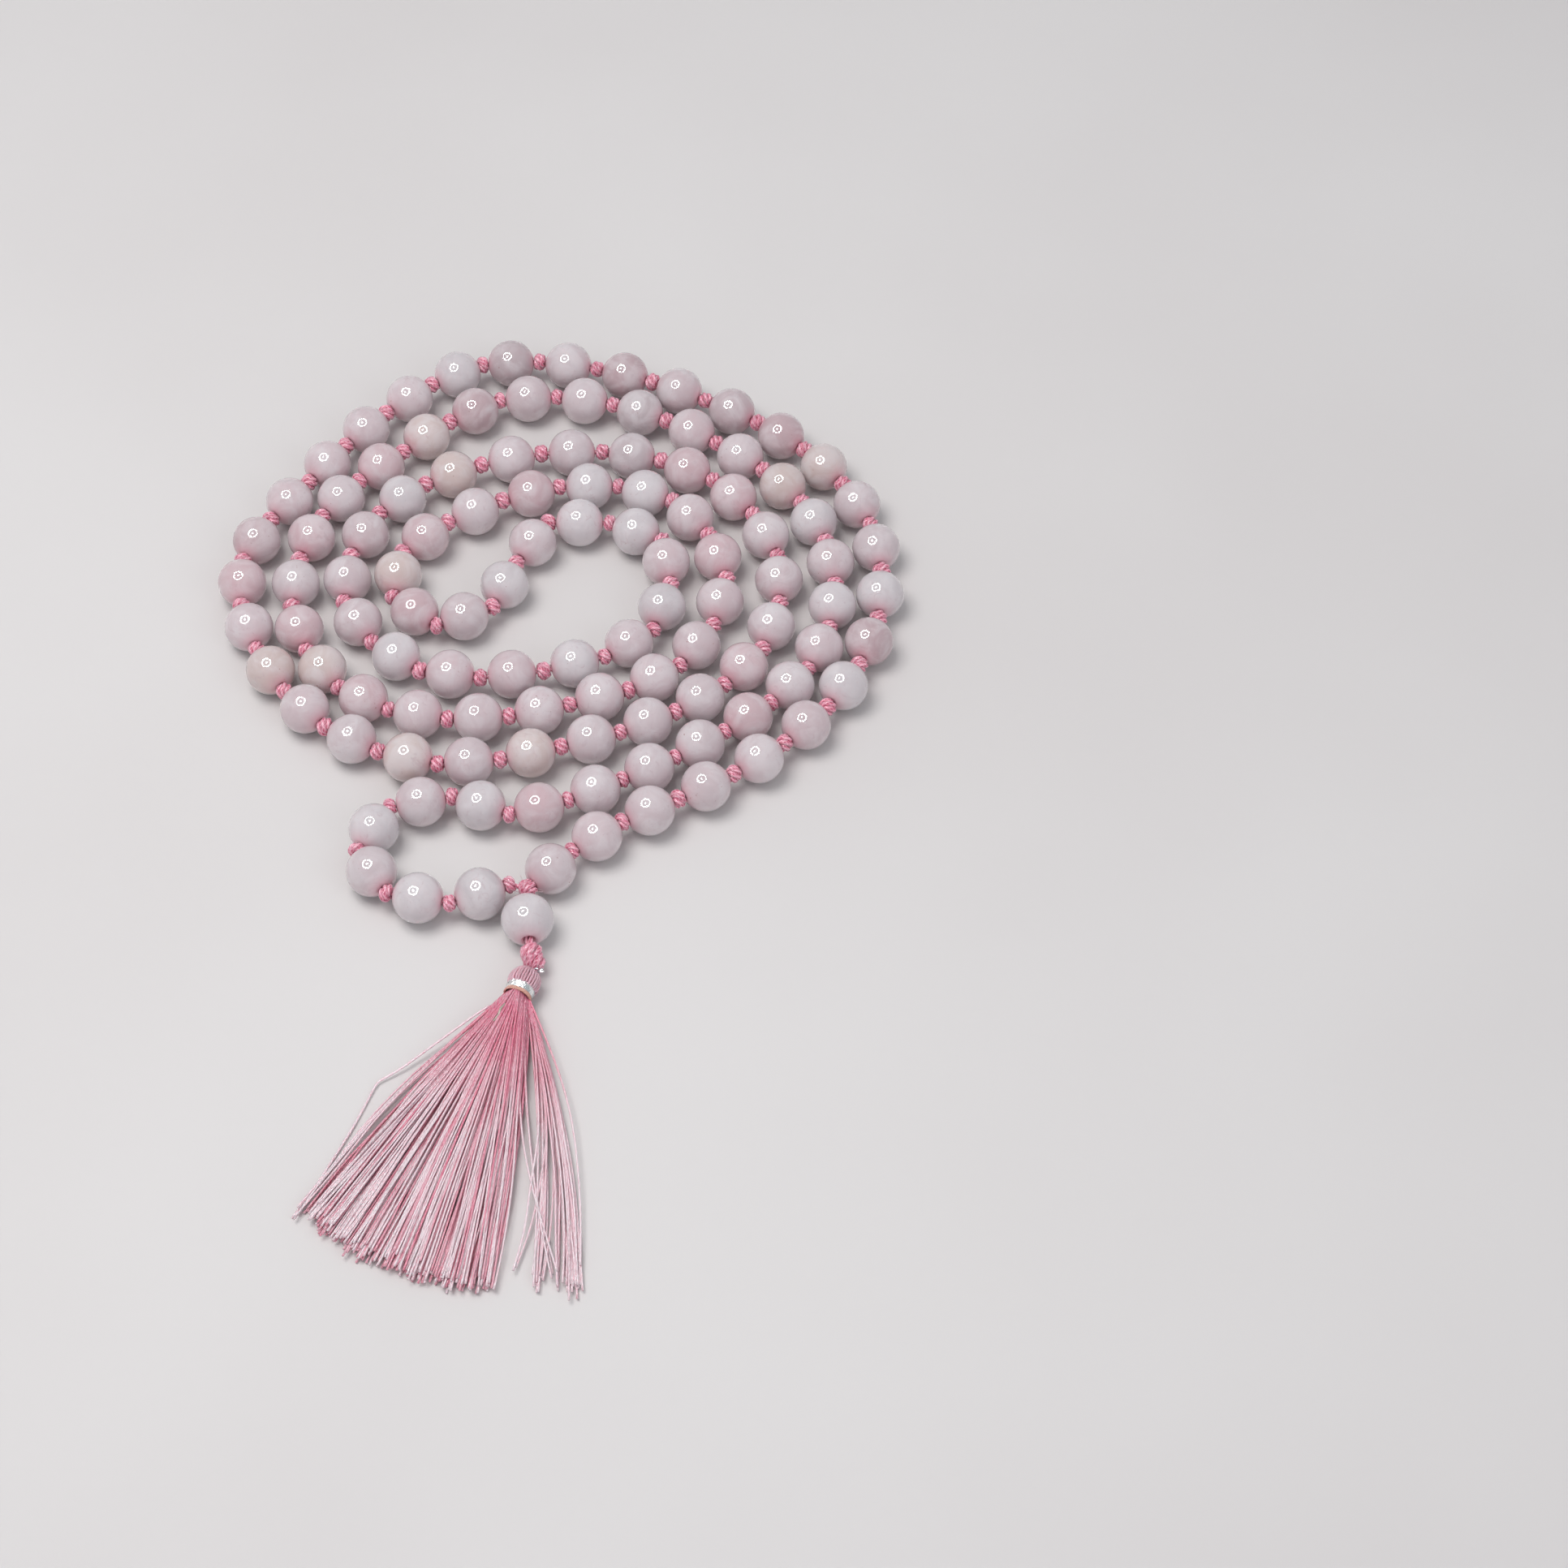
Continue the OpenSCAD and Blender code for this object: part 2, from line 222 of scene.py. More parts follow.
def tube(path, radius, sides, tint, plies=0, groove=0.0, lay=1.0, start=0.0):
    """A tube along a path. Its plies stand out by groove times the radius and wind round once every lay."""
    path = np.asarray(path, float)
    rows = len(path)
    _, side, up = side_frames(path)
    along = np.concatenate([[0], np.cumsum(np.linalg.norm(np.diff(path, axis=0), axis=1))])
    angle = np.arange(sides) / sides * math.tau
    wound = angle[None, :] + math.tau * along[:, None] / lay + start
    height = np.abs(np.cos(plies / 2 * wound)) if plies else np.ones((rows, sides))
    r = np.broadcast_to(np.asarray(radius, float), (rows,))[:, None] * (1 - groove + groove * height)
    across = np.cos(angle)[None, :, None] * side[:, None, :] + np.sin(angle)[None, :, None] * up[:, None, :]
    points = path[:, None, :] + r[:, :, None] * across
    strand = np.stack([np.broadcast_to(along[:, None], (rows, sides)), wound / math.tau, height], axis=-1)
    tint = np.asarray(tint, float)
    tint = np.repeat(tint, sides, axis=0) if tint.ndim == 2 else np.tile(tint, (rows * sides, 1))
    caps = [list(range(sides))[::-1], list(range((rows - 1) * sides, rows * sides))]
    return Part(points.reshape(-1, 3), grid_quads(rows, sides), caps, tint, strand.reshape(-1, 3))


def lathe(profile, columns, tint, closed=False):
    """A surface turned about +X from points (x, radius)."""
    angle = np.arange(columns) / columns * math.tau
    x, r = np.array(profile, float).T
    points = np.stack([
        np.broadcast_to(x[:, None], (len(x), columns)),
        r[:, None] * np.cos(angle),
        r[:, None] * np.sin(angle)], axis=-1)
    strand = np.zeros((points.shape[0] * columns, 3))
    tint = np.tile(np.asarray(tint, float), (len(strand), 1))
    return Part(points.reshape(-1, 3), grid_quads(len(x), columns, closed), [], tint, strand)


def facing(forward, up=UP):
    """A matrix whose columns are forward, left and up."""
    forward = unit(forward)
    left = unit(np.cross(up, forward))
    return np.stack([forward, left, np.cross(forward, left)], axis=1)


def placed(part, turn, at):
    return part._replace(points=part.points @ turn.T + np.asarray(at))


def pushed_out(points, balls):
    """The points, those inside a ball (centre, radius) moved out to its surface."""
    for centre, radius in balls:
        out = points - centre
        far = np.linalg.norm(out, axis=1, keepdims=True)
        points = np.where(far < radius, centre + out / far * radius, points)
    return points


def pressed(part, *balls):
    """A soft part, pushed out of the balls that it lies against."""
    return part._replace(points=pushed_out(part.points, balls))


def join(parts):
    """Several parts as one."""
    starts = np.cumsum([0] + [len(p.points) for p in parts[:-1]])
    return Part(
        np.vstack([p.points for p in parts]),
        np.vstack([p.quads + s for p, s in zip(parts, starts)]),
        [[i + int(s) for i in cap] for p, s in zip(parts, starts) for cap in p.caps],
        np.vstack([p.tint for p in parts]),
        np.vstack([p.strand for p in parts]))


def make_piece(name, parts, material):
    """A smooth mesh object from parts, in place but riding on nothing yet."""
    whole = join(parts)
    mesh = bpy.data.meshes.new(name)
    mesh.from_pydata(whole.points.tolist(), [], whole.quads.tolist() + whole.caps)
    tint = mesh.attributes.new("tint", "FLOAT_COLOR", "POINT")
    tint.data.foreach_set("color", np.hstack([whole.tint, np.ones((len(whole.tint), 1))]).ravel())
    strand = mesh.attributes.new("strand", "FLOAT_VECTOR", "POINT")
    strand.data.foreach_set("vector", whole.strand.ravel())
    mesh.materials.append(material)
    mesh.shade_smooth()
    mesh.validate()
    thing = bpy.data.objects.new(name, mesh)
    bpy.context.scene.collection.objects.link(thing)
    return thing


def riding_piece(name, parts, material, slot, body, *stands_for):
    """A piece that moves with a CAD body and stands for CAD nodes."""
    thing = make_piece(name, parts, material)
    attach(thing, body)
    if stands_for:
        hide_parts(*stands_for)
    return thing


# ---------------------------------------------------------------- materials

# The Mix node's sockets for colours, which share their names with its other sockets
MIX_FACTOR, MIX_A, MIX_B, MIX_RESULT = 0, 6, 7, 2


class Shader:
    """A material's nodes, made one call at a time."""

    def __init__(self, name):
        self.material = bpy.data.materials.new(name)
        self.material.use_nodes = True
        self.tree = self.material.node_tree
        self.surface = self.tree.nodes["Principled BSDF"]

    def link(self, socket, value):
        if isinstance(value, bpy.types.NodeSocket):
            self.tree.links.new(value, socket)
        else:
            socket.default_value = value

    def node(self, kind, settings=(), **inputs):
        made = self.tree.nodes.new("ShaderNode" + kind)
        for key, value in dict(settings).items():
            setattr(made, key, value)
        for key, value in inputs.items():
            self.link(made.inputs[key.replace("_", " ")], value)
        return made

    def set(self, **inputs):
        for key, value in inputs.items():
            self.link(self.surface.inputs[key.replace("_", " ")], value)

    def place(self):
        return self.node("TexCoord").outputs["Object"]

    def attribute(self, name, output="Color"):
        return self.node("Attribute", {"attribute_name": name}).outputs[output]

    def noise(self, scale, detail, roughness=0.5, distortion=0.0):
        made = self.node(
            "TexNoise", Scale=scale, Detail=detail, Roughness=roughness, Distortion=distortion)
        self.link(made.inputs["Vector"], self.place())
        return made.outputs["Fac"]

    def math(self, operation, a, b=0.0):
        made = self.node("Math", {"operation": operation})
        self.link(made.inputs[0], a)
        self.link(made.inputs[1], b)
        return made.outputs[0]

    def ramp(self, value, low, high, to_low=0.0, to_high=1.0):
        """value from low..high mapped smoothly to to_low..to_high."""
        made = self.node("MapRange", {"interpolation_type": "SMOOTHSTEP"})
        for key, number in (("From Min", low), ("From Max", high), ("To Min", to_low), ("To Max", to_high)):
            made.inputs[key].default_value = number
        self.link(made.inputs["Value"], value)
        return made.outputs["Result"]

    def mix(self, factor, a, b):
        made = self.node("Mix", {"data_type": "RGBA"})
        self.link(made.inputs[MIX_FACTOR], factor)
        for socket, colour in ((MIX_A, a), (MIX_B, b)):
            self.link(made.inputs[socket], (*colour, 1.0) if isinstance(colour, np.ndarray) else colour)
        return made.outputs[MIX_RESULT]

    def bump(self, height, strength, distance):
        made = self.node("Bump", Strength=strength, Distance=distance, Height=height)
        return made.outputs["Normal"]


CLOUD_WHITE = linear(226, 221, 223)
VEIL_GREY = linear(196, 176, 181)
SPECK_RUST = linear(150, 88, 70)
PAINTED_GLOW_PINK = linear(232, 160, 176)


def stone_material():
    """Milky rose quartz: cloudy veils, a few rusty specks, and painted pink light round the holes from the
    cord.
    """
    s = Shader("rose_quartz")
    parts = s.node("SeparateXYZ", Vector=s.attribute("strand", "Vector"))
    painted_glow = parts.outputs["X"]
    cloud = s.ramp(s.noise(scale=230, detail=4, roughness=0.6, distortion=0.8), 0.36, 0.66)
    veil = s.ramp(s.noise(scale=620, detail=3, roughness=0.6, distortion=1.5), 0.58, 0.72)
    colour = s.mix(s.math("MULTIPLY", cloud, 0.5), s.attribute("tint"), CLOUD_WHITE)
    colour = s.mix(s.math("MULTIPLY", veil, 0.4), colour, VEIL_GREY)
    speck = s.ramp(s.noise(scale=2300, detail=1, roughness=0.4), 0.74, 0.79)
    where = s.ramp(s.noise(scale=170, detail=1), 0.5, 0.66)
    colour = s.mix(s.math("MULTIPLY", s.math("MULTIPLY", speck, where), 0.6), colour, SPECK_RUST)
    # Painted light: the stone turns pink round the holes, for the pink cord seen through it.
    colour = s.mix(s.math("MULTIPLY", painted_glow, 0.55), colour, PAINTED_GLOW_PINK)
    s.set(Base_Color=colour, Subsurface_Weight=0.9, Subsurface_Scale=0.0026, IOR=1.54)
    s.surface.inputs["Subsurface Radius"].default_value = (1.0, 0.88, 0.88)
    polish = s.ramp(s.noise(scale=900, detail=3), 0.3, 0.7, to_low=0.03, to_high=0.07)
    s.set(Roughness=polish, Coat_Weight=0.2, Coat_Roughness=0.02)
    s.set(Normal=s.bump(s.noise(scale=420, detail=3), strength=0.012, distance=0.0002))
    return s.material


def fibre_height(s, lines, twist):
    """Fine fibres that run along a strand and wind round it."""
    parts = s.node("SeparateXYZ", Vector=s.attribute("strand", "Vector"))
    turn = s.math("MULTIPLY", parts.outputs["Y"], lines)
    run = s.math("MULTIPLY", parts.outputs["X"], twist)
    wave = s.math("SINE", s.math("MULTIPLY", s.math("ADD", turn, run), math.tau))
    return s.ramp(wave, -1, 1), parts.outputs["Z"]


def silk_material(
        name, painted_shade, bright, lines, twist, roughness, groove_low, sheen, patches=900, painted_highlight_top=1.0):
    """Shiny dyed thread, with painted shade in the grooves between plies and painted highlights where fibres
    catch the light.
    """
    s = Shader(name)
    fibres, height = fibre_height(s, lines, twist)
    patch = s.noise(scale=patches, detail=3, roughness=0.6)
    # Painted shade: lift is low in the grooves between plies, and there the colour goes towards the shade
    # colour.
    lift = s.ramp(height, groove_low, 1.0)
    colour = s.mix(s.math("SUBTRACT", 1.0, lift), s.attribute("tint"), painted_shade)
    # Painted highlight: pale streaks where the fibres run over the crests of the plies, in patches.
    patchy = s.ramp(patch, 0.35, 0.65, to_low=0.4 * painted_highlight_top, to_high=painted_highlight_top)
    painted_highlight = s.math("MULTIPLY", s.math("MULTIPLY", lift, fibres), patchy)
    colour = s.mix(painted_highlight, colour, bright)
    rough = s.ramp(patch, 0.3, 0.7, to_low=roughness - 0.08, to_high=roughness + 0.1)
    s.set(Base_Color=colour, Roughness=rough)
    s.set(Sheen_Weight=sheen, Sheen_Roughness=0.35, Specular_IOR_Level=0.6)
    s.surface.inputs["Sheen Tint"].default_value = (1.0, 0.86, 0.9, 1.0)
    s.set(Subsurface_Weight=0.25, Subsurface_Scale=0.0004)
    s.surface.inputs["Subsurface Radius"].default_value = (1.0, 0.5, 0.55)
    s.set(Normal=s.bump(fibres, strength=0.55, distance=0.00006))
    return s.material


def foil_material():
    """Crumpled silver foil with a frosty blue-grey grain."""
    s = Shader("silver_foil")
    grain = s.noise(scale=5200, detail=4, roughness=0.7)
    patch = s.ramp(s.noise(scale=700, detail=2), 0.45, 0.62)
    colour = s.mix(s.math("MULTIPLY", patch, 0.5), linear(250, 251, 250), linear(160, 182, 188))
    rough = s.ramp(grain, 0.3, 0.7, to_low=0.14, to_high=0.45)
    s.set(Base_Color=colour, Metallic=1.0, Roughness=rough)
    s.set(Normal=s.bump(grain, strength=0.5, distance=0.0001))
    return s.material


def floor_material():
    """A plain pale table with a trace of unevenness."""
    s = Shader("floor")
    tone = s.ramp(s.noise(scale=6, detail=3), 0.3, 0.7)
    s.set(Base_Color=s.mix(tone, linear(214, 210, 209), linear(220, 217, 216)), Roughness=0.75)
    return s.material


STONE = stone_material()
# In each material below, the first colour is painted shade for the grooves and bright is a painted highlight.
SILK = silk_material(
    "silk_cord", painted_shade=linear(200, 84, 116), bright=linear(255, 230, 236),
    lines=9, twist=900, roughness=0.26, groove_low=0.15, sheen=0.3)
THREAD = silk_material(
    "tassel_thread", painted_shade=linear(196, 70, 104), bright=linear(255, 242, 246),
    lines=5, twist=300, roughness=0.32, groove_low=-0.7, sheen=0.35, patches=220, painted_highlight_top=0.6)
CORAL = silk_material(
    "coral_thread", painted_shade=linear(230, 136, 116), bright=linear(255, 214, 198),
    lines=7, twist=900, roughness=0.4, groove_low=0.0, sheen=0.2)
FOIL = foil_material()

CORD_PINK = linear(248, 160, 186)
HEAD_PINK = linear(252, 192, 208)
# A dark pink painted as the shade in the grooves between the head's threads
PAINTED_GROOVE_SHADE = linear(176, 66, 98)


# ---------------------------------------------------------------- cords

CORD_D = 0.8 * MM
CORD_SIDES = 12
CORD_STEP = 0.5 * MM


def dense(points, step):
    """A polyline with points about step apart, its corners kept."""
    out = [points[0]]
    for a, b in zip(points[:-1], points[1:]):
        n = max(1, math.ceil(np.linalg.norm(b - a) / step))
        out += [a + (b - a) * i / n for i in range(1, n + 1)]
    return np.array(out)


def cord_tube(path):
    return tube(path, CORD_D / 2, CORD_SIDES, CORD_PINK, plies=3, groove=0.22, lay=2.6 * MM)


JOIN_AT = np.array([-2.6, -24.2, 4.0]) * MM
coil_path = dense(KNOTS[FOLD_IN:FOLD_OUT + 1], CORD_STEP)
lobe_path = dense(np.vstack([KNOTS[FOLD_OUT:], JOIN_AT]), CORD_STEP)
short_path = dense(KNOTS[FOLD_IN::-1], CORD_STEP)

coil_cord = riding_piece("coil_cord_silk", [cord_tube(coil_path)], SILK, "silk_cord", "root", "coil_cord")
lobe_cord = riding_piece("lobe_cord_silk", [cord_tube(lobe_path)], SILK, "silk_cord", "lobe", "lobe_cord")
short_cord = riding_piece("short_cord_silk", [cord_tube(short_path)], SILK, "silk_cord", "lobe")


# ---------------------------------------------------------------- knots

KNOT_STRAND_R = 0.46 * MM
KNOT_OUTER_R = 1.58 * MM
KNOT_RINGS = 90
KNOT_SIDES = 10
# How often the strand goes round the knot, and how often it crosses from end to end and back
KNOT_WRAPS = 4
KNOT_CROSSINGS = 5
# How far the strand swings in and out each way, as a share of its distance from the middle line
KNOT_SWING = 0.42
# A strand knot stops KNOT_CLEAR short of where the beads are KNOT_ROOM_AT off the strand's middle line
KNOT_ROOM_AT = 1.1 * MM
KNOT_CLEAR = 0.03 * MM
KNOT_LONGEST = 1.15 * MM
# How much the knots differ
KNOT_SIZES = (0.92, 1.04)
KNOT_SHADES = (0.94, 1.06)
KNOT_TILT = 0.12


def overhand(strand_r, outer_r, half_length, phase, tint):
    """A pulled-tight knot about +X: one strand that slants over the outside and comes back underneath."""
    t = np.linspace(0, math.tau, KNOT_RINGS) + math.pi / KNOT_CROSSINGS
    swing = KNOT_SWING * (outer_r - strand_r)
    radius = outer_r - strand_r - swing + swing * np.cos(KNOT_CROSSINGS * t)
    x = (half_length - strand_r) * np.sin(KNOT_CROSSINGS * t)
    turn = KNOT_WRAPS * t + phase
    path = np.stack([x, radius * np.cos(turn), radius * np.sin(turn)], axis=1)
    return tube(path, strand_r, KNOT_SIDES, tint, plies=3, groove=0.3, lay=4.4 * MM, start=phase)


def strand_knot(k):
    """The knot between two beads, squeezed to the room they leave it."""
    before = KNOTS[k] - KNOTS[k - 1]
    after = KNOTS[k + 1] - KNOTS[k] if k < LAST_BEAD else before
    drop = math.sqrt(BEAD_R ** 2 - KNOT_ROOM_AT ** 2) + KNOT_CLEAR
    room_back = min(KNOT_LONGEST, np.linalg.norm(before) / 2 - drop)
    room_ahead = min(KNOT_LONGEST, np.linalg.norm(after) / 2 - drop)
    half = (room_back + room_ahead) / 2
    size = rng.uniform(*KNOT_SIZES)
    tint = CORD_PINK * rng.uniform(*KNOT_SHADES)
    part = overhand(KNOT_STRAND_R * size, KNOT_OUTER_R * size, half, rng.uniform(0, math.tau), tint)
    ahead = unit(unit(before) + unit(after))
    tilt = rng.uniform(-KNOT_TILT, KNOT_TILT, 3)
    centre = KNOTS[k] + ahead * (room_ahead - room_back) / 2
    beside = [bead_ball(b) for b in (k, k + 1) if b <= LAST_BEAD]
    return pressed(placed(part, facing(ahead, UP + tilt), centre), *beside)


coil_knots = riding_piece(
    "coil_overhand_knots", [strand_knot(k) for k in range(FOLD_IN + 1, FOLD_OUT)],
    SILK, "silk_cord", "root", "coil_knots")
lobe_knot_numbers = list(range(1, FOLD_IN)) + list(range(FOLD_OUT + 1, LAST_BEAD + 1))
lobe_knots = riding_piece(
    "lobe_overhand_knots", [strand_knot(k) for k in lobe_knot_numbers],
    SILK, "silk_cord", "lobe", "lobe_knots")


def fold_knot(name, k):
    """A knot between the coil and the lobe, which the lobe folds up about; it rides on neither."""
    knot = make_piece(name, [strand_knot(k)], SILK)
    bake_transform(knot)


fold_knot("fold_knot_near_start", FOLD_IN)
fold_knot("fold_knot_near_end", FOLD_OUT)


# ---------------------------------------------------------------- beads

BORE_R = 0.5 * MM
MOUTH_R = 0.8 * MM
FLARE = 0.35 * MM
LIP = 0.06 * MM
BEAD_COLUMNS = 48
BEAD_ROWS = 30
BEAD_LUMPS = 3
# About how far a bead is out of round, as a share of its radius
ROUND_BEAD = 0.006
UNEVEN_BEAD = 0.02
# How far round the bead, from its axis, the painted pink light from the cord reaches
PAINTED_GLOW_ANGLE = math.radians(30)
PALE_STONE = linear(208, 201, 204)
PINK_STONE = linear(207, 183, 188)
PEACH_STONE = linear(208, 190, 180)
# Where a plain bead lies between pale (0) and pink (1), how its lightness differs, and a dark bead's
PLAIN_SHARES = (0.3, 0.6)
STONE_SHADES = (0.96, 1.04)
DARK_SHADE = 0.86
PINK_BEADS = (8, 13, 16, 24, 25, 36, 40, 41, 62, 64, 66, 70, 78, 80, 82, 84, 86, 98, 102)
PALE_BEADS = (7, 9, 19, 46, 50, 53, 55, 57, 58, 60, 67, 68, 93, 95, 103, 105, 107, 108)
PEACH_BEADS = (12, 27, 30, 32, 45, 63, 79, 85, 92)
DARK_BEADS = (8, 13, 14, 16, 18, 24, 42, 86, 89)
UNEVEN_BEADS = (52, 60, 107, 108)


def bead(centre, axis, radius, bore_r, mouth_r, stone, uneven):
    """A polished ball with a drilled, flared hole, a touch out of round."""
    first = math.asin(mouth_r / radius)
    angles = np.linspace(first, math.pi - first, BEAD_ROWS)
    outside = [(-radius * math.cos(a), radius * math.sin(a)) for a in angles]
    mouth_x = radius * math.cos(first)
    flare_x = mouth_x - FLARE
    inside = [
        (mouth_x - LIP, mouth_r - LIP), (flare_x, bore_r), (0, bore_r), (-flare_x, bore_r),
        (-mouth_x + LIP, mouth_r - LIP)]
    part = lathe(outside + inside, BEAD_COLUMNS, stone, closed=True)
    points = part.points
    from_axis = np.linalg.norm(points[:, 1:], axis=1) / radius
    lump = np.zeros(len(points))
    for _ in range(BEAD_LUMPS):
        towards = unit(rng.normal(size=3))
        lump += (points @ towards / radius) ** 2 * rng.uniform(-1, 1)
    points = points * (1 + uneven * lump * from_axis ** 2)[:, None]
    # Painted pink light round the holes, for the cord seen through the stone, kept in the strand attribute.
    angle = np.arcsin(np.clip(from_axis, 0, 1))
    painted_glow = np.exp(-(angle / PAINTED_GLOW_ANGLE) ** 2)
    strand = np.stack([painted_glow, painted_glow, painted_glow], axis=1)
    return placed(part._replace(points=points, strand=strand), facing(axis), centre)


def stone_of(b):
    """A bead's own colour: most are between pale and pink."""
    share = rng.uniform(*PLAIN_SHARES)
    if b in PINK_BEADS:
        share = 1.0
    if b in PALE_BEADS:
        share = 0.0
    stone = PALE_STONE + (PINK_STONE - PALE_STONE) * share
    if b in PEACH_BEADS:
        stone = (stone + PEACH_STONE) / 2
    return stone * rng.uniform(*STONE_SHADES) * (DARK_SHADE if b in DARK_BEADS else 1.0)


def counting_bead(b):
    uneven = UNEVEN_BEAD if b in UNEVEN_BEADS else ROUND_BEAD
    return bead(bead_centre(b), bead_axis(b), BEAD_R, BORE_R, MOUTH_R, stone_of(b), uneven)


GROUP_SIZE = 4

for node in sorted(n for n in frame["nodes"] if n.startswith("bead")):
    first = int(node.split("_")[1])
    count = GROUP_SIZE if node.startswith("beads") else 1
    body = frame["nodes"][node]["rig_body"]
    riding_piece(
        node.replace("bead", "quartz_bead", 1), [counting_bead(b) for b in range(first, first + count)],
        STONE, "rose_quartz", body, node)

GURU_AT = np.array([-2.4, -30.1, 4.1]) * MM
GURU_R = 4.1 * MM
GURU_BORE_R = 0.9 * MM
GURU_MOUTH_R = 1.2 * MM
GURU_BALL = (GURU_AT, GURU_R + PRESS_GAP)
GURU_TURN = math.radians(276)
GURU_AXIS = np.array([math.cos(GURU_TURN), math.sin(GURU_TURN), 0])

riding_piece(
    "guru_quartz_bead",
    [bead(GURU_AT, GURU_AXIS, GURU_R, GURU_BORE_R, GURU_MOUTH_R, PALE_STONE, ROUND_BEAD)],
    STONE, "rose_quartz", "guru", "guru_bead")


# ---------------------------------------------------------------- guru bead's cords and knots

# The tassel's pivot, in the middle of the lower knot, and the middle of the upper knot
PIVOT = np.array([-1.1, -37.0, 2.8]) * MM
KNOT_TOP = np.array([-1.6, -35.7, 3.2]) * MM
# Knots as strand radius, outer radius and half length, and the turn that their strand starts at
JOIN_KNOT, JOIN_KNOT_PHASE = (0.48 * MM, 1.6 * MM, 1.3 * MM), 0.9
UPPER_KNOT, UPPER_KNOT_PHASE = (0.56 * MM, 1.9 * MM, 1.5 * MM), 0.4
LOWER_KNOT, LOWER_KNOT_PHASE = (0.54 * MM, 1.82 * MM, 1.5 * MM), 2.2
# How far the cord pair stays straight on each side of the guru bead
STRAIGHT_ABOVE = 3 * MM
STRAIGHT_BELOW = 4 * MM
PAIR_APART = 0.36 * MM
PAIR_R = 0.36 * MM
PAIR_LAY = 9 * MM
PAIR_SIDES = 9
PAIR_PLY_LAY = 2.4 * MM
LINT_R = 0.035 * MM
LINT_GREY = linear(206, 184, 190)
LINT_COUNT = 14
LINT_RINGS = 7
LINT_SIDES = 5
# Where the fibres start, how far they run and how far they curl, as shares of the knot's radius
LINT_START, LINT_RUN, LINT_CURL = 0.75, 0.6, 0.35
LINT_KNOT_R = 1.5 * MM
# They spread sideways more than up and down
LINT_SPREAD = (1, 1, 0.5)


def paired(path, apart, radius, tint, lay):
    """Two strands laid round each other along a path."""
    path = np.asarray(path, float)
    _, side, up = side_frames(path)
    along = np.concatenate([[0], np.cumsum(np.linalg.norm(np.diff(path, axis=0), axis=1))])
    turn = math.tau * along[:, None] / lay
    off = apart * (np.cos(turn) * side + np.sin(turn) * up)
    return [tube(path + way * off, radius, PAIR_SIDES, tint, plies=3, groove=0.2, lay=PAIR_PLY_LAY)
            for way in (1, -1)]


def lint(centre, radius, count, balls):
    """Fine fibres worked loose from a knot, which curl away from it and lie on the balls beside it."""
    hairs = []
    for _ in range(count):
        out = unit(rng.normal(size=3) * LINT_SPREAD)
        curl = unit(rng.normal(size=3))
        t = np.linspace(0, 1, LINT_RINGS)[:, None]
        path = centre + out * (radius * (LINT_START + LINT_RUN * t)) + curl * radius * LINT_CURL * t ** 2
        hairs.append(tube(pushed_out(path, balls), LINT_R, LINT_SIDES, LINT_GREY))
    return hairs


JOIN_BALLS = (bead_ball(1), bead_ball(LAST_BEAD), GURU_BALL)
join_core = placed(overhand(*JOIN_KNOT, JOIN_KNOT_PHASE, CORD_PINK), facing(GURU_AXIS), JOIN_AT)
join_knot = riding_piece(
    "join_overhand_knot",
    [pressed(join_core, *JOIN_BALLS)] + lint(JOIN_AT, LINT_KNOT_R, LINT_COUNT, JOIN_BALLS),
    SILK, "silk_cord", "lobe", "join_knot")

guru_corners = np.array([
    JOIN_AT, GURU_AT - GURU_AXIS * STRAIGHT_ABOVE, GURU_AT + GURU_AXIS * STRAIGHT_BELOW, KNOT_TOP])
guru_cords = paired(dense(guru_corners, CORD_STEP), PAIR_APART, PAIR_R, CORD_PINK, PAIR_LAY)
riding_piece(
    "guru_cord_pair", guru_cords,
    SILK, "silk_cord", "lobe", "guru_cord")

along_knots = facing(unit(PIVOT - KNOT_TOP))
upper_knot = placed(overhand(*UPPER_KNOT, UPPER_KNOT_PHASE, CORD_PINK), along_knots, KNOT_TOP)
lower_knot = placed(overhand(*LOWER_KNOT, LOWER_KNOT_PHASE, CORD_PINK), along_knots, PIVOT)
riding_piece(
    "guru_double_knot", [pressed(upper_knot, GURU_BALL), lower_knot],
    SILK, "silk_cord", "lobe", "guru_knot")


# ---------------------------------------------------------------- tassel

TASSEL_TURN = math.radians(250)
FORWARD = np.array([math.cos(TASSEL_TURN), math.sin(TASSEL_TURN), 0])
LEFTWARD = np.array([-FORWARD[1], FORWARD[0], 0])
TABLE_PIVOT = np.array([PIVOT[0], PIVOT[1], 0])


def on_neck(part):
    """A part drawn in millimetres along +X from the pivot, put on the tassel's neck line."""
    return placed(part._replace(points=part.points * MM), facing(FORWARD), PIVOT)


def to_table(points):
    """Points in millimetres from the pivot, with z above the table, in the object's frame."""
    points = np.asarray(points, float) * MM
    return TABLE_PIVOT + points[:, :1] * FORWARD + points[:, 1:2] * LEFTWARD + points[:, 2:] * UP


def spun(profile, around):
    """A line in the plane of the neck, given as (x, radius), turned to an angle round it."""
    x, r = np.array(profile, float).T
    return np.stack([x, r * math.cos(around), r * math.sin(around)], axis=1)


# From here to the threads, a length without MM is in millimetres and a place is counted from the pivot
NECK_CORD_FROM, NECK_CORD_TO = 1.2, 2.45
NECK_CORD_RINGS = 8
NECK_CORD_APART, NECK_CORD_R, NECK_CORD_LAY = 0.36, 0.34, 9

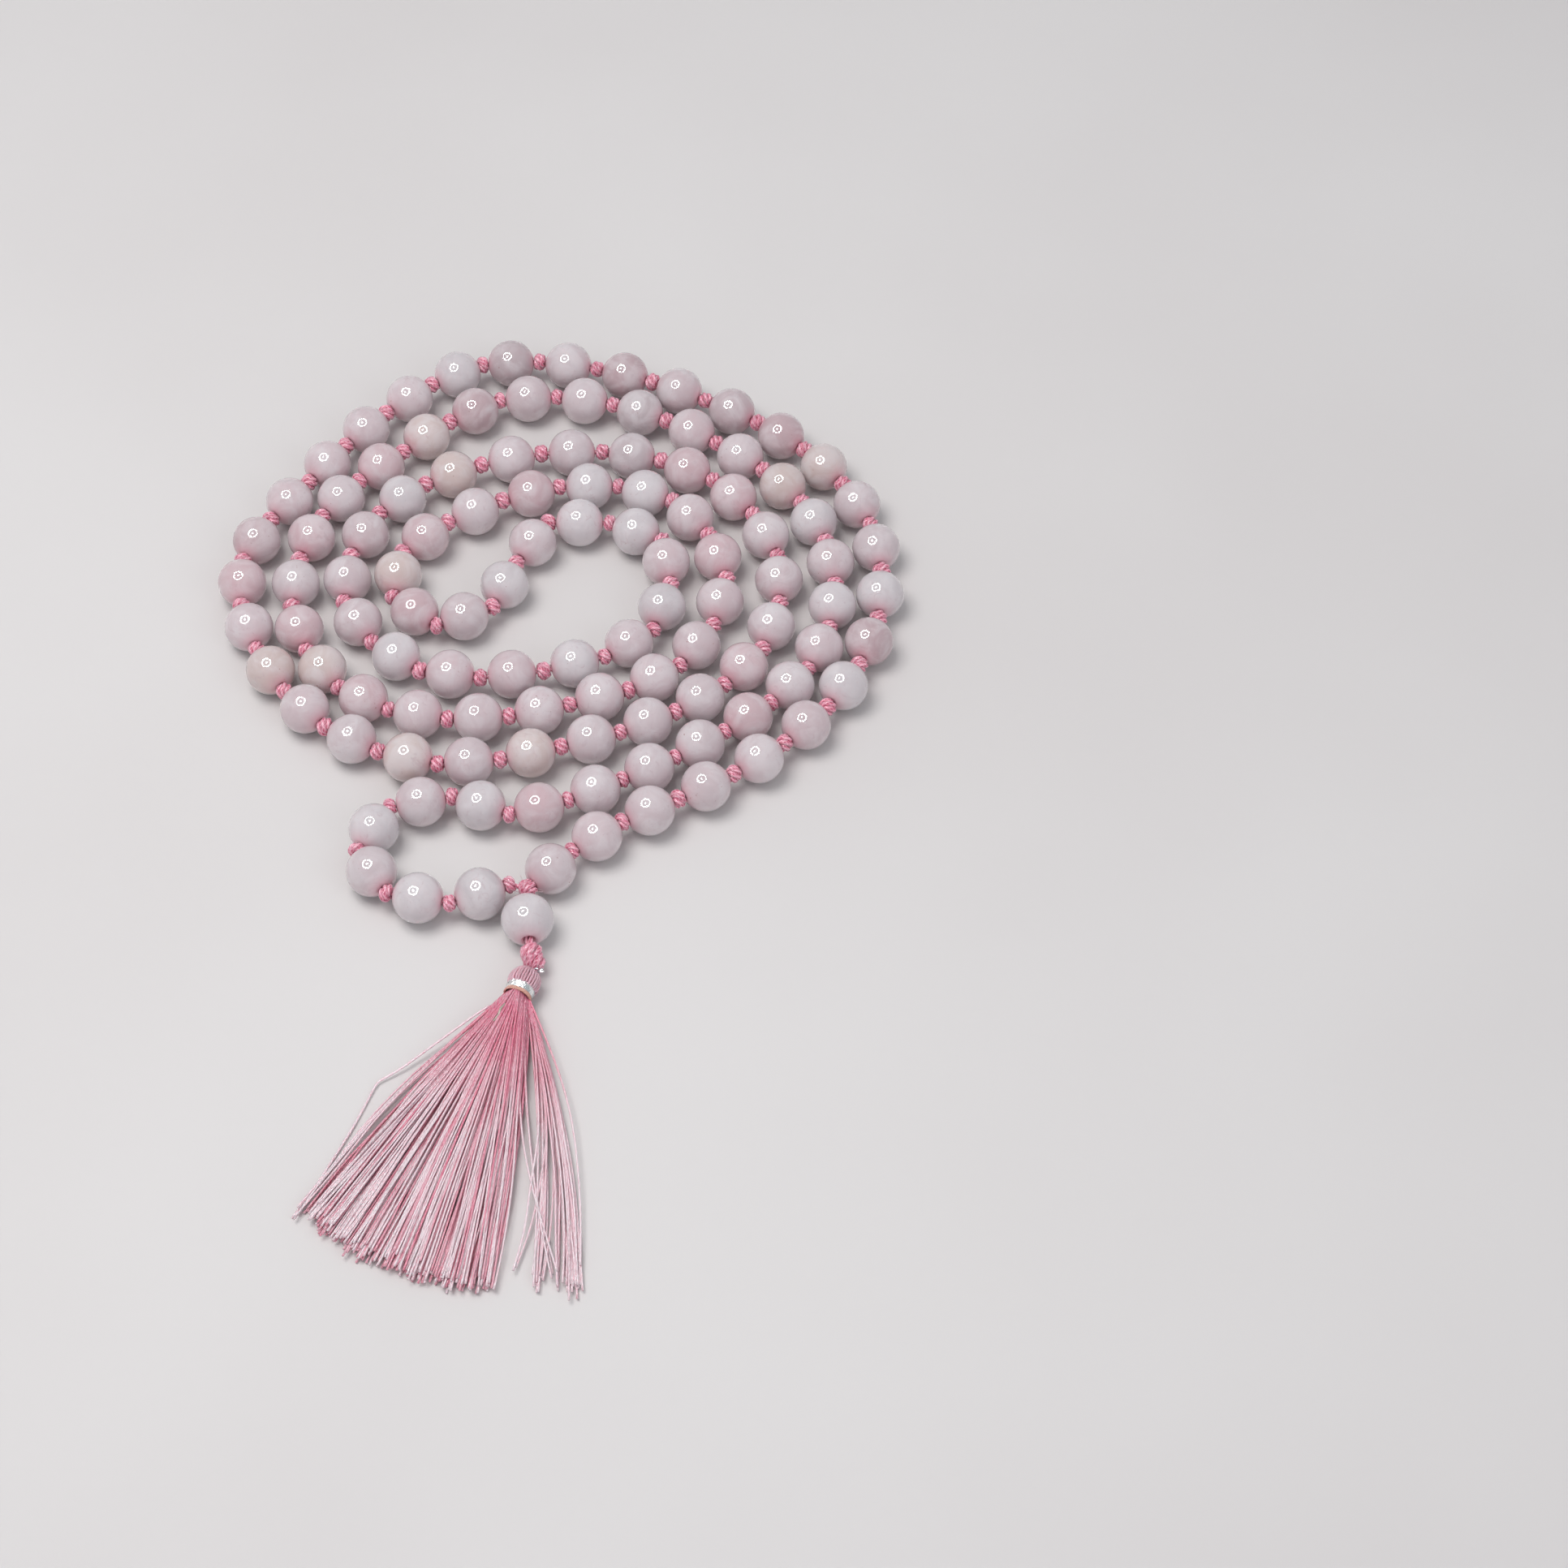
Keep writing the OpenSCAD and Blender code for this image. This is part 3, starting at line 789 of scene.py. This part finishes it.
neck_line = np.column_stack([
    np.linspace(NECK_CORD_FROM, NECK_CORD_TO, NECK_CORD_RINGS), np.zeros((NECK_CORD_RINGS, 2))])
neck_cords = paired(neck_line, NECK_CORD_APART, NECK_CORD_R, CORD_PINK, NECK_CORD_LAY)
riding_piece(
    "tassel_cord_pair", [on_neck(cord) for cord in neck_cords],
    SILK, "silk_cord", "hanger", "tassel_cord")

TINSEL = linear(225, 230, 228)
TINSEL_R = 0.15
TINSEL_SIDES = 7
# The tie: where it starts, its radius, its turns and how far it climbs in one
TIE_AT, TIE_R, TIE_TURNS, TIE_RISE = 2.1, 1.12, 3.1, 0.11
TIE_RINGS_A_TURN = 30
# How uneven it is, and the waves of that in a turn, in its radius and along the neck
TIE_WOBBLE, WOBBLES_OUT, WOBBLES_ALONG = 0.05, 3.3, 2.1
TIE_ENDS = (
    [(2.2, 0.9, 0.5), (2.0, 1.4, 0.9), (2.1, 1.8, 1.2), (1.8, 2.2, 1.6)],
    [(2.2, 1.0, 0.4), (2.1, 1.6, 0.8), (2.3, 2.0, 1.3), (2.1, 2.5, 1.5)],
    [(2.2, 0.7, 0.9), (2.0, 1.1, 1.4), (2.1, 1.5, 1.7)])
TIE_END_SIDES = 6


def ring_path(x, r, t):
    """Points round the neck line, at x along it and r from it."""
    return np.stack([x, r * np.cos(t), r * np.sin(t)], axis=1)


def tie_path():
    """Tinsel wound unevenly round the cord."""
    t = np.linspace(0, math.tau * TIE_TURNS, int(TIE_RINGS_A_TURN * TIE_TURNS))
    r = TIE_R + TIE_WOBBLE * np.sin(WOBBLES_OUT * t)
    x = TIE_AT + TIE_RISE * t / math.tau + TIE_WOBBLE * np.sin(WOBBLES_ALONG * t)
    return ring_path(x, r, t)


riding_piece(
    "silver_tie_wire",
    [on_neck(tube(tie_path(), TINSEL_R, TINSEL_SIDES, TINSEL))]
    + [on_neck(tube(end, TINSEL_R, TIE_END_SIDES, TINSEL)) for end in TIE_ENDS],
    FOIL, "silver_foil", "hanger", "silver_tie")

# The head's ball: its middle, its radius and where it ends, and the neck that it is drawn in to
HEAD_AT, HEAD_R, HEAD_END = 4.1, 2.6, 5.0
HEAD_NECK_X, HEAD_NECK_R = 5.1, 2.02
# The hollow that the cord comes out of: a circle round the pivot, and the angles that its wall runs between
DIMPLE_R = 2.85
DIMPLE_FROM, DIMPLE_TO, DIMPLE_ROWS = 0.34, 0.6, 4
# The angles by which the ball's outline stops short of the middle line and of the ball's end
BALL_TOP_ANGLE, BALL_BAND_ANGLE, BALL_ROWS = 0.68, 0.08, 14
# How deep under the head's surface the filling and the middles of the threads lie
FILLING_DEPTH, FILLING_COLUMNS = 0.34, 48
HEAD_THREAD_DEPTH = 0.2
HEAD_THREADS = 32
HEAD_THREAD_R = 0.21
HEAD_THREAD_SIDES = 7
# How much the head's threads differ
HEAD_THREAD_STRAY = 0.03
HEAD_THREAD_SHADES = (0.74, 1.12)
HEAD_THREAD_SIZES = (0.85, 1.1)


def head_profile(shrink):
    """From inside the hollow top, over the rim and round the ball to the band."""
    hollow = [(math.cos(a) * DIMPLE_R, math.sin(a) * DIMPLE_R)
              for a in np.linspace(DIMPLE_FROM, DIMPLE_TO, DIMPLE_ROWS)]
    ball_from = math.pi - BALL_TOP_ANGLE
    ball_to = math.acos((HEAD_END - HEAD_AT) / HEAD_R) - BALL_BAND_ANGLE
    ball = [(HEAD_AT + math.cos(a) * (HEAD_R - shrink), math.sin(a) * (HEAD_R - shrink))
            for a in np.linspace(ball_from, ball_to, BALL_ROWS)]
    return hollow + ball + [(HEAD_NECK_X, HEAD_NECK_R - shrink)]


def head_thread(i):
    """One thread of the head, folded over the cord and drawn down to the band."""
    around = math.tau * i / HEAD_THREADS + rng.uniform(-HEAD_THREAD_STRAY, HEAD_THREAD_STRAY)
    shade = HEAD_PINK * rng.uniform(*HEAD_THREAD_SHADES)
    radius = HEAD_THREAD_R * rng.uniform(*HEAD_THREAD_SIZES)
    path = spun(head_profile(HEAD_THREAD_DEPTH), around)
    return on_neck(tube(path, radius, HEAD_THREAD_SIDES, shade, plies=2, groove=0.2, lay=3))


# The filling shows between the head's threads, coloured as painted shade in their grooves
filling = on_neck(lathe(head_profile(FILLING_DEPTH), FILLING_COLUMNS, PAINTED_GROOVE_SHADE))
riding_piece(
    "tassel_head_threads", [filling] + [head_thread(i) for i in range(HEAD_THREADS)],
    THREAD, "tassel_thread", "tassel", "tassel_head")

CORE_FROM, CORE_TO = 2.8, 4.95
CORE_R, CORE_HOLE_R = 0.78, 0.05
CORE_COLUMNS = 20
CORE_PROFILE = [(CORE_FROM, CORE_HOLE_R), (CORE_FROM, CORE_R), (CORE_TO, CORE_R), (CORE_TO, CORE_HOLE_R)]

riding_piece(
    "tassel_core_fold", [on_neck(lathe(CORE_PROFILE, CORE_COLUMNS, CORD_PINK))],
    THREAD, "tassel_thread", "tassel", "tassel_core")

BAND_FROM, BAND_TO = 5.02, 6.3
BAND_R, BAND_INNER_R = 2.2, 1.95
BAND_ROWS, BAND_INNER_ROWS, BAND_COLUMNS = 9, 4, 120
BAND_TINT = linear(235, 238, 236)
# The foil's creases: how many sets, how many in a turn, how steeply they slant, how high they stand,
# and the level among them that is the band's own radius
CREASE_SETS = 9
CREASES_A_TURN = (4, 22)
CREASE_SLANT = 5
CREASE_HEIGHT, CREASE_LEVEL = 0.13, 0.6
# How far the foil waves along the neck, and how often in a turn
BAND_WAVE, BAND_WAVES, BAND_WAVE_LEVEL = 0.12, 5, 0.4


def crumpled_band():
    """A strip of foil wound round the neck, creased and pressed unevenly."""
    x = np.concatenate([
        np.linspace(BAND_FROM, BAND_TO, BAND_ROWS), np.linspace(BAND_TO, BAND_FROM, BAND_INNER_ROWS)])
    r = np.concatenate([np.full(BAND_ROWS, BAND_R), np.full(BAND_INNER_ROWS, BAND_INNER_R)])
    band = lathe(np.stack([x, r], axis=1), BAND_COLUMNS, BAND_TINT, closed=True)
    points = band.points
    crease = np.zeros(len(points))
    around = np.arctan2(points[:, 2], points[:, 1])
    for _ in range(CREASE_SETS):
        times = int(rng.integers(*CREASES_A_TURN))
        slant = rng.uniform(-CREASE_SLANT, CREASE_SLANT)
        crease += np.abs(np.sin(times * around + points[:, 0] * slant + any_phase())) / CREASE_SETS
    bulge = 1 + CREASE_HEIGHT * (crease - CREASE_LEVEL)
    wave = BAND_WAVE * np.sin(BAND_WAVES * around) * (crease - BAND_WAVE_LEVEL)
    points = np.stack([points[:, 0] + wave, points[:, 1] * bulge, points[:, 2] * bulge], axis=1)
    return on_neck(band._replace(points=points))


riding_piece("tassel_foil_band", [crumpled_band()], FOIL, "silver_foil", "tassel", "tassel_band")

# The coral winding below the band: where its first turn lies, the step to the next, and how each one waves
RIM_TURNS = 3
RIM_X, RIM_X_STEP = 6.36, 0.2
RIM_R, RIM_R_STEP = 2.02, 0.05
RIM_WAVE, RIM_WAVES = 0.03, 2
RIM_THREAD_R = 0.17
RIM_RINGS, RIM_SIDES = 60, 8
RIM_CORAL = linear(255, 188, 166)


def rim_turn(turn):
    t = np.linspace(0, math.tau, RIM_RINGS)
    x = RIM_X + RIM_X_STEP * turn + RIM_WAVE * np.sin(RIM_WAVES * t + turn)
    path = ring_path(x, RIM_R + RIM_R_STEP * turn, t)
    return on_neck(tube(path, RIM_THREAD_R, RIM_SIDES, RIM_CORAL, plies=3, groove=0.2, lay=2))


riding_piece(
    "tassel_coral_winding", [rim_turn(turn) for turn in range(RIM_TURNS)],
    CORAL, "coral_thread", "tassel", "tassel_rim")


# ---------------------------------------------------------------- tassel threads

THREAD_ROOT_X = 6.4
NECK_R = 2.05
NECK_Z = 2.8
THREAD_R = 0.17
THREAD_RINGS = 46
THREAD_SIDES = 6
THREAD_LAY = 5.5 * MM
# A thread's thickness along its length: thinner at the root, a little thicker at the cut end
THREAD_SWELL = ((0, 0.8), (0.06, 1), (0.97, 1), (1, 1.15))
# The lowest and highest place of a thread's middle above the table, against the distance from the pivot
LOWEST = ((THREAD_ROOT_X, NECK_Z - NECK_R), (12, 0.25), (60, 0.22))
HIGHEST = ((THREAD_ROOT_X, NECK_Z + NECK_R), (12, 4.3), (28, 2.9), (50, 1.9), (60, 1.7))
# The least share of the neck's width that a layer's roots spread over
LEAST_ROOT_SPREAD = 0.35
# How far a thread sways sideways, the half waves of that from root to tip, and how it grows on the way
SWAY = 0.34
SWAY_WAVES = (1.3, 2.6, 5.2)
SWAY_GROWTH = 0.7
# How far a thread rises and falls towards its tip, and how far that wave turns
RIPPLE, RIPPLE_TURN = 0.05, 9
# How fast a thread's own paleness sets in, how late, and how much every thread pales from root to tip
PALE_RISE, PALE_DELAY, PALE_TIP = 2.2, 0.1, 0.25
# The room kept between a thread and the table
THREAD_ROOM = 0.02
THREAD_SHADES = (0.92, 1.05)
DEEP_PINK = linear(230, 96, 134)
PALE_PINK = linear(255, 232, 238)


def graph(x, points):
    """The height at x of a line through points (x, height)."""
    return np.interp(x, *zip(*points))


def thread(tip_angle, spread, layer, reach, bow, lift, pale):
    """One thread from the neck to its cut end. spread is its place across the neck, from -1 to 1."""
    s = np.linspace(0, 1, THREAD_RINGS)
    across = math.sqrt(max(0.0, 1 - (2 * layer - 1) ** 2))
    root = np.array([THREAD_ROOT_X, spread * NECK_R * max(across, LEAST_ROOT_SPREAD)])
    tip = reach * np.array([math.cos(tip_angle), math.sin(tip_angle)])
    flat = root + (tip - root) * s[:, None]
    side = unit(np.array([-(tip - root)[1], (tip - root)[0]]))
    sway = bow * np.sin(math.pi * s)
    for n in SWAY_WAVES:
        wave = rng.normal() * SWAY / n * np.sin(math.pi * n * s + any_phase())
        sway = sway + wave * s ** SWAY_GROWTH
    flat = flat + sway[:, None] * side
    low, high = graph(flat[:, 0], LOWEST), graph(flat[:, 0], HIGHEST)
    z = low + layer * lift * (high - low) + RIPPLE * np.sin(RIPPLE_TURN * s + any_phase()) * s
    path = to_table(np.column_stack([flat, np.maximum(z, THREAD_R + THREAD_ROOM)]))
    own = pale * np.clip(PALE_RISE * s - PALE_DELAY, 0, 1)
    paleness = np.clip(own + PALE_TIP * (s - 0.5), 0, 1)[:, None]
    tint = (DEEP_PINK + (PALE_PINK - DEEP_PINK) * paleness) * rng.uniform(*THREAD_SHADES)
    thick = THREAD_R * MM * graph(s, THREAD_SWELL)
    start = any_phase()
    return tube(path, thick, THREAD_SIDES, tint, plies=2, groove=0.18, lay=THREAD_LAY, start=start)


SKIRT_HALF_ANGLE = math.radians(16.6)
# The cut line: its reach in the middle, its slope across and its fall towards both edges
SKIRT_REACH, SKIRT_SLOPE, SKIRT_FALL = 54.6, 1.2, 0.9
SKIRT_UNEVEN_CUT = 0.8
SKIRT_MOUND = 0.35
SKIRT_BOW = 0.9
# How far the tips stray at the bottom, in degrees; on top they stray twice as far
TIP_STRAY = 1.2
# The share of threads that cross the others, above which layer, and how far their tips stray
CROSSING_SHARE, CROSSING_LAYER = 0.2, 0.6
CROSSING_STRAY = math.radians(7)
# A thread's tip stays inside an edge, which lies between these shares of the half angle
SKIRT_EDGES = (0.88, 1.02)
# The share of pale threads at the bottom and how much more there are on top, and how pale a thread is
PALE_SHARE, PALE_SHARE_MORE = 0.15, 0.55
PALE_TONES, DEEP_TONES = (0.75, 1), (0, 0.3)
# The lower and the upper threads: their count, and the layers from 0 to 1 that they lie in
UNDER_SKIRT = (210, 0.02, 0.6)
OVER_SKIRT = (230, 0.5, 1.0)


def skirt_reach(angle):
    """The cut line of the skirt: the middle threads hang a little longer than those at its edges."""
    across = angle / SKIRT_HALF_ANGLE
    return SKIRT_REACH + SKIRT_SLOPE * across - SKIRT_FALL * across ** 2


def skirt_threads(count, low_layer, high_layer):
    """Threads side by side across the skirt, some of them crossing the others on top."""
    made = []
    for i in range(count):
        across = -1 + 2 * (i + rng.uniform(0, 1)) / count
        layer = rng.uniform(low_layer, high_layer)
        mound = 1 - SKIRT_MOUND * across ** 4
        angle = SKIRT_HALF_ANGLE * across
        stray = rng.normal() * math.radians(TIP_STRAY + TIP_STRAY * layer)
        crosses = rng.uniform() < CROSSING_SHARE and layer > CROSSING_LAYER
        if crosses:
            stray = rng.normal() * CROSSING_STRAY
        edge = SKIRT_HALF_ANGLE * rng.uniform(*SKIRT_EDGES)
        tip_angle = np.clip(angle + stray, -edge, edge)
        is_pale = crosses or rng.uniform() < PALE_SHARE + PALE_SHARE_MORE * layer ** 2
        pale = rng.uniform(*PALE_TONES) if is_pale else rng.uniform(*DEEP_TONES)
        reach = skirt_reach(tip_angle) + rng.normal() * SKIRT_UNEVEN_CUT
        made.append(thread(tip_angle, across, layer, reach, SKIRT_BOW * across ** 3, mound, pale))
    return made


# Loose strands: middle and spread of their tip angles in degrees, bow, place across the neck, reach, count
SIDE_STRANDS = (
    (28.4, 0.6, 1.8, 0.95, 55.4, 17), (26.2, 0.7, 1.9, 0.9, 54.6, 10), (22.6, 0.7, 1.9, 0.85, 53.8, 10),
    (19.8, 0.4, 2.6, 1.0, 52.0, 2), (25.2, 0.4, -1.6, 0.6, 53.0, 3), (29.4, 0.2, 2.9, 1.0, 52.6, 1))
LEFT_STRANDS = ((-17.2, 0.35, -1.9, -1.0, 54.3, 6),)
# How much the threads of a loose strand differ, and how high the strand lies
LOOSE_PLACES, LOOSE_LAYERS, LOOSE_TONES = (0.8, 1), (0.1, 0.8), (0.6, 1)
LOOSE_UNEVEN_CUT, LOOSE_UNEVEN_BOW = 0.9, 0.35
LOOSE_LIFT = 0.7
# A beige end of binding, seen through the opening near the root
BINDING_END = [(9.6, -0.7, 4.35), (10.6, -1.0, 4.3), (11.8, -0.9, 4.2), (12.8, -1.2, 4.0)]
BINDING_R = 0.24 * MM
BINDING_SIDES = 8
BINDING_BEIGE = linear(172, 156, 140)


def loose_thread(middle, spread, bow, place, reach):
    """One thread of a loose strand, near the strand's middle angle."""
    tip_angle = math.radians(middle + rng.normal() * spread)
    across = place * rng.uniform(*LOOSE_PLACES)
    layer = rng.uniform(*LOOSE_LAYERS)
    own_reach = reach + rng.normal() * LOOSE_UNEVEN_CUT
    own_bow = bow + rng.normal() * LOOSE_UNEVEN_BOW
    return thread(tip_angle, across, layer, own_reach, own_bow, LOOSE_LIFT, rng.uniform(*LOOSE_TONES))


def loose_threads(strands):
    return [loose_thread(*strand) for *strand, count in strands for _ in range(count)]


riding_piece(
    "tassel_skirt_under_threads", skirt_threads(*UNDER_SKIRT),
    THREAD, "tassel_thread", "tassel", "tassel_skirt")
riding_piece(
    "tassel_skirt_over_threads",
    skirt_threads(*OVER_SKIRT) + loose_threads(LEFT_STRANDS)
    + [tube(to_table(BINDING_END), BINDING_R, BINDING_SIDES, BINDING_BEIGE)],
    THREAD, "tassel_thread", "tassel")
riding_piece(
    "tassel_side_threads", loose_threads(SIDE_STRANDS),
    THREAD, "tassel_thread", "tassel", "tassel_side_bunch")

# The stray thread's route, as in the part's source
STRAY_ROUTE = np.array([
    (-0.0076, -0.0448, 0.0024), (-0.010, -0.0467, 0.0023), (-0.013, -0.0492, 0.002),
    (-0.0165, -0.052, 0.0015), (-0.020, -0.0548, 0.001), (-0.0224, -0.0564, 0.0007),
    (-0.0236, -0.0572, 0.0006), (-0.0243, -0.0584, 0.0005), (-0.0254, -0.0612, 0.0004),
    (-0.027, -0.0652, 0.0004), (-0.029, -0.0696, 0.0004), (-0.0308, -0.0734, 0.0004),
    (-0.0322, -0.0766, 0.0004)])
STRAY_D = 0.4 * MM
STRAY_STEP = 0.5 * MM
STRAY_SIDES = 7


def curved(points, step):
    """A smooth curve through points, sampled about step apart."""
    points = np.asarray(points, float)
    ends = np.vstack([2 * points[0] - points[1], points, 2 * points[-1] - points[-2]])
    out = []
    for a, b, c, d in zip(ends[:-3], ends[1:-2], ends[2:-1], ends[3:]):
        n = max(2, math.ceil(np.linalg.norm(c - b) / step))
        for u in np.arange(n) / n:
            out.append(0.5 * (2 * b + (c - a) * u + (2 * a - 5 * b + 4 * c - d) * u ** 2
                              + (3 * b - 3 * c + d - a) * u ** 3))
    return np.array(out + [points[-1]])


stray_path = curved(STRAY_ROUTE, STRAY_STEP)
stray = riding_piece(
    "stray_silk_thread",
    [tube(stray_path, STRAY_D / 2, STRAY_SIDES, PALE_PINK, plies=2, groove=0.25, lay=3 * MM)],
    THREAD, "tassel_thread", "tassel", "stray_thread")


# ---------------------------------------------------------------- stage and light

LIT_MIDDLE = Vector((0, 0.02, 0))
LAMP_FROM = unit((-0.265, -0.04, 0.964))
LAMP_DISTANCE = 0.7
# The ring lamp and the small face in its middle
RING_INNER, RING_OUTER, MIDDLE_OUTER = 0.2, 0.27, 0.055
LAMP_STRENGTH = 26.0
LAMP_COLUMNS = 64
FILL_PLACE = (0.6, -0.5, 0.6)
FLOOR_HALF = 3.0
WORLD_COLOUR = (0.86, 0.88, 0.92, 1)
WORLD_STRENGTH = 0.55


def aimed(thing, place):
    """Puts a light or a lamp at a place from the middle of the strand, facing it."""
    thing.location = LIT_MIDDLE + Vector(place)
    thing.rotation_euler = Vector(place).to_track_quat("Z", "Y").to_euler()
    bpy.context.scene.collection.objects.link(thing)


def area_light(name, place, size, power, colour):
    """A soft light that the beads don't mirror."""
    data = bpy.data.lights.new(name, "AREA")
    data.shape = "DISK"
    data.size = size
    data.energy = power
    data.color = colour
    light = bpy.data.objects.new(name, data)
    aimed(light, place)
    light.visible_glossy = False


def lamp_face(name, inner, outer):
    """A bright flat ring that the beads mirror and that lights nothing."""
    angle = np.arange(LAMP_COLUMNS) / LAMP_COLUMNS * math.tau
    circle = np.stack([np.cos(angle), np.sin(angle), np.zeros(LAMP_COLUMNS)], axis=1)
    rings = np.vstack([circle * inner, circle * outer])
    mesh = bpy.data.meshes.new(name)
    mesh.from_pydata(rings.tolist(), [], grid_quads(2, LAMP_COLUMNS).tolist())
    shader = Shader(name)
    shader.set(Base_Color=(0, 0, 0, 1), Emission_Color=(1, 1, 1, 1), Emission_Strength=LAMP_STRENGTH)
    mesh.materials.append(shader.material)
    lamp = bpy.data.objects.new(name, mesh)
    aimed(lamp, LAMP_FROM * LAMP_DISTANCE)
    lamp.visible_diffuse = False


def make_floor():
    """A square table top at the height of the object's lowest point."""
    mesh = bpy.data.meshes.new("floor")
    low = cad_box[0].z
    corners = [(x * FLOOR_HALF, y * FLOOR_HALF, low) for x, y in ((-1, -1), (1, -1), (1, 1), (-1, 1))]
    mesh.from_pydata(corners, [], [(0, 1, 2, 3)])
    mesh.materials.append(floor_material())
    floor = bpy.data.objects.new("floor", mesh)
    bpy.context.scene.collection.objects.link(floor)


def make_world():
    world = bpy.data.worlds.new("studio")
    world.use_nodes = True
    background = world.node_tree.nodes["Background"]
    background.inputs["Color"].default_value = WORLD_COLOUR
    background.inputs["Strength"].default_value = WORLD_STRENGTH
    bpy.context.scene.world = world
    bpy.context.scene.view_settings.view_transform = "Standard"


make_floor()
make_world()
area_light("key", LAMP_FROM * LAMP_DISTANCE, size=0.4, power=2.7, colour=(1.0, 0.985, 0.97))
area_light("fill", FILL_PLACE, size=0.5, power=0.9, colour=(0.95, 0.97, 1.0))
lamp_face("ring_lamp", RING_INNER, RING_OUTER)
lamp_face("lamp_middle", 0.0, MIDDLE_OUTER)
